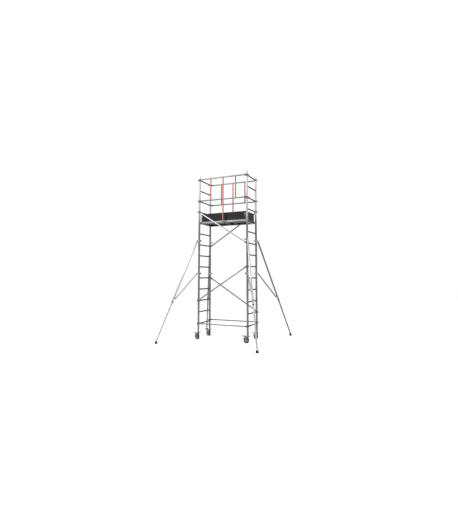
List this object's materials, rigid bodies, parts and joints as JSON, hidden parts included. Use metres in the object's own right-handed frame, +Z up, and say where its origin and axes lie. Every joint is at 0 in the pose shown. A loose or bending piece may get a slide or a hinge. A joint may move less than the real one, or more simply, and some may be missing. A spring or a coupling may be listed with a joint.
{
  "type": "mobile tower scaffold",
  "caption": "Tall narrow mobile tower of aluminium end frames with rungs, diagonal braces, a guarded work platform with trapdoor, braked castors and telescopic stabilisers.",
  "frame": {"origin": "on the ground under the plan centre of the tower", "axes": "+X to the right along the long side, +Y to the rear, +Z up"},
  "size_m": [2.5604, 2.5466, 4.129],
  "materials": {
    "aluminium_frame": "brushed, slightly dull",
    "aluminium_brace": "brushed, pale",
    "zinc_steel": "zinc plated",
    "cast_claw": "cast grey",
    "red_latch": "moulded red",
    "orange_bar": "powder coated orange red",
    "film_faced_board": "dark film-faced plywood",
    "toe_board": "near black film-faced plywood",
    "black_plastic": "moulded black",
    "wheel_grey": "moulded grey",
    "tyre_black": "black rubber tread",
    "foot_rubber": "black rubber"
  },
  "bodies": {
    "tower": {"left_base_frame": "aluminium_frame", "right_base_frame": "aluminium_frame", "left_top_frame": "aluminium_frame", "right_top_frame": "aluminium_frame", "frame_spigots": "aluminium_brace", "spigot_clips": "zinc_steel", "front_base_brace": "aluminium_brace", "rear_base_brace": "aluminium_brace", "front_lower_diagonal": "aluminium_brace", "rear_lower_diagonal": "aluminium_brace", "front_upper_diagonal": "aluminium_brace", "rear_upper_diagonal": "aluminium_brace", "brace_claws": "cast_claw", "claw_latches": "red_latch", "front_guardrail": "aluminium_brace", "rear_guardrail": "aluminium_brace", "guardrail_bars": "orange_bar", "platform_frame": "aluminium_frame", "platform_hooks": "zinc_steel", "deck_boards": "film_faced_board", "trapdoor_hinges": "zinc_steel", "front_toe_board": "toe_board", "rear_toe_board": "toe_board", "end_toe_boards": "toe_board", "castor_stems": "zinc_steel"},
    "trapdoor": {"trapdoor": "film_faced_board", "trapdoor_leaves": "zinc_steel"},
    "trapdoor_latch": {"trapdoor_latch": "black_plastic"},
    "front_left_castor": {"front_left_fork": "zinc_steel"},
    "front_left_rolling_wheel": {"front_left_wheel": "wheel_grey", "front_left_tyre": "tyre_black"},
    "front_left_brake": {"front_left_brake_pedal": "zinc_steel"},
    "front_left_stabiliser": {"front_left_stabiliser_tube": "aluminium_brace", "front_left_stabiliser_strut": "aluminium_brace"},
    "front_left_leg": {"front_left_stabiliser_leg": "aluminium_brace"},
    "front_left_foot": {"front_left_stabiliser_foot": "foot_rubber"},
    "front_right_castor": {"front_right_fork": "zinc_steel"},
    "front_right_rolling_wheel": {"front_right_wheel": "wheel_grey", "front_right_tyre": "tyre_black"},
    "front_right_brake": {"front_right_brake_pedal": "zinc_steel"},
    "front_right_stabiliser": {"front_right_stabiliser_tube": "aluminium_brace", "front_right_stabiliser_strut": "aluminium_brace"},
    "front_right_leg": {"front_right_stabiliser_leg": "aluminium_brace"},
    "front_right_foot": {"front_right_stabiliser_foot": "foot_rubber"},
    "rear_left_castor": {"rear_left_fork": "zinc_steel"},
    "rear_left_rolling_wheel": {"rear_left_wheel": "wheel_grey", "rear_left_tyre": "tyre_black"},
    "rear_left_brake": {"rear_left_brake_pedal": "zinc_steel"},
    "rear_left_stabiliser": {"rear_left_stabiliser_tube": "aluminium_brace", "rear_left_stabiliser_strut": "aluminium_brace"},
    "rear_left_leg": {"rear_left_stabiliser_leg": "aluminium_brace"},
    "rear_left_foot": {"rear_left_stabiliser_foot": "foot_rubber"},
    "rear_right_castor": {"rear_right_fork": "zinc_steel"},
    "rear_right_rolling_wheel": {"rear_right_wheel": "wheel_grey", "rear_right_tyre": "tyre_black"},
    "rear_right_brake": {"rear_right_brake_pedal": "zinc_steel"},
    "rear_right_stabiliser": {"rear_right_stabiliser_tube": "aluminium_brace", "rear_right_stabiliser_strut": "aluminium_brace"},
    "rear_right_leg": {"rear_right_stabiliser_leg": "aluminium_brace"},
    "rear_right_foot": {"rear_right_stabiliser_foot": "foot_rubber"}
  },
  "joints": [
    {"name": "trapdoor_hinge", "type": "hinge", "parent": "tower", "child": "trapdoor", "pos_m": [0.283, 0.236, 2.935], "axis": [-1, 0, 0], "range_deg": [0, 94]},
    {"name": "trapdoor_latch_turn", "type": "hinge", "parent": "trapdoor", "child": "trapdoor_latch", "pos_m": [0.283, -0.21, 2.915], "axis": [0, 0, -1], "range_deg": [0, 90]},
    {"name": "front_left_swivel", "type": "hinge", "parent": "tower", "child": "front_left_castor", "pos_m": [-0.66, -0.3, 0.163], "axis": [0, 0, 1], "continuous": true},
    {"name": "front_left_roll", "type": "hinge", "parent": "front_left_castor", "child": "front_left_rolling_wheel", "pos_m": [-0.70229, -0.28461, 0.075], "axis": [-0.342, -0.9397, 0], "continuous": true},
    {"name": "front_left_brake_press", "type": "hinge", "parent": "front_left_castor", "child": "front_left_brake", "pos_m": [-0.70698, -0.2829, 0.148], "axis": [-0.342, -0.9397, 0], "range_deg": [0, 6]},
    {"name": "front_left_stabiliser_swing", "type": "hinge", "parent": "tower", "child": "front_left_stabiliser", "pos_m": [-0.66, -0.3, 2.44], "axis": [0, 0, 1], "range_deg": [-40, 20]},
    {"name": "front_left_leg_slide", "type": "slide", "parent": "front_left_stabiliser", "child": "front_left_leg", "axis": [-0.2136, -0.3419, -0.9151], "range_m": [-0.3, 0.05]},
    {"name": "front_left_foot_tilt", "type": "hinge", "parent": "front_left_leg", "child": "front_left_foot", "pos_m": [-1.24821, -1.24133, 0.045], "axis": [0.848, -0.5299, 0], "range_deg": [-20, 20]},
    {"name": "front_right_swivel", "type": "hinge", "parent": "tower", "child": "front_right_castor", "pos_m": [0.66, -0.3, 0.163], "axis": [0, 0, 1], "continuous": true},
    {"name": "front_right_roll", "type": "hinge", "parent": "front_right_castor", "child": "front_right_rolling_wheel", "pos_m": [0.61653, -0.28835, 0.075], "axis": [-0.2588, -0.9659, 0], "continuous": true},
    {"name": "front_right_brake_press", "type": "hinge", "parent": "front_right_castor", "child": "front_right_brake", "pos_m": [0.6117, -0.28706, 0.148], "axis": [-0.2588, -0.9659, 0], "range_deg": [0, 6]},
    {"name": "front_right_stabiliser_swing", "type": "hinge", "parent": "tower", "child": "front_right_stabiliser", "pos_m": [0.66, -0.3, 2.44], "axis": [0, 0, -1], "range_deg": [-40, 20]},
    {"name": "front_right_leg_slide", "type": "slide", "parent": "front_right_stabiliser", "child": "front_right_leg", "axis": [0.2136, -0.3419, -0.9151], "range_m": [-0.3, 0.05]},
    {"name": "front_right_foot_tilt", "type": "hinge", "parent": "front_right_leg", "child": "front_right_foot", "pos_m": [1.24821, -1.24133, 0.045], "axis": [-0.848, -0.5299, 0], "range_deg": [-20, 20]},
    {"name": "rear_left_swivel", "type": "hinge", "parent": "tower", "child": "rear_left_castor", "pos_m": [-0.66, 0.3, 0.163], "axis": [0, 0, 1], "continuous": true},
    {"name": "rear_left_roll", "type": "hinge", "parent": "rear_left_castor", "child": "rear_left_rolling_wheel", "pos_m": [-0.70229, 0.31539, 0.075], "axis": [-0.342, -0.9397, 0], "continuous": true},
    {"name": "rear_left_brake_press", "type": "hinge", "parent": "rear_left_castor", "child": "rear_left_brake", "pos_m": [-0.70698, 0.3171, 0.148], "axis": [-0.342, -0.9397, 0], "range_deg": [0, 6]},
    {"name": "rear_left_stabiliser_swing", "type": "hinge", "parent": "tower", "child": "rear_left_stabiliser", "pos_m": [-0.66, 0.3, 2.44], "axis": [0, 0, -1], "range_deg": [-40, 20]},
    {"name": "rear_left_leg_slide", "type": "slide", "parent": "rear_left_stabiliser", "child": "rear_left_leg", "axis": [-0.2136, 0.3419, -0.9151], "range_m": [-0.3, 0.05]},
    {"name": "rear_left_foot_tilt", "type": "hinge", "parent": "rear_left_leg", "child": "rear_left_foot", "pos_m": [-1.24821, 1.24133, 0.045], "axis": [0.848, 0.5299, 0], "range_deg": [-20, 20]},
    {"name": "rear_right_swivel", "type": "hinge", "parent": "tower", "child": "rear_right_castor", "pos_m": [0.66, 0.3, 0.163], "axis": [0, 0, 1], "continuous": true},
    {"name": "rear_right_roll", "type": "hinge", "parent": "rear_right_castor", "child": "rear_right_rolling_wheel", "pos_m": [0.62103, 0.3225, 0.075], "axis": [-0.5, -0.866, 0], "continuous": true},
    {"name": "rear_right_brake_press", "type": "hinge", "parent": "rear_right_castor", "child": "rear_right_brake", "pos_m": [0.6167, 0.325, 0.148], "axis": [-0.5, -0.866, 0], "range_deg": [0, 6]},
    {"name": "rear_right_stabiliser_swing", "type": "hinge", "parent": "tower", "child": "rear_right_stabiliser", "pos_m": [0.66, 0.3, 2.44], "axis": [0, 0, 1], "range_deg": [-40, 20]},
    {"name": "rear_right_leg_slide", "type": "slide", "parent": "rear_right_stabiliser", "child": "rear_right_leg", "axis": [0.2136, 0.3419, -0.9151], "range_m": [-0.3, 0.05]},
    {"name": "rear_right_foot_tilt", "type": "hinge", "parent": "rear_right_leg", "child": "rear_right_foot", "pos_m": [1.24821, 1.24133, 0.045], "axis": [-0.848, 0.5299, 0], "range_deg": [-20, 20]}
  ]
}
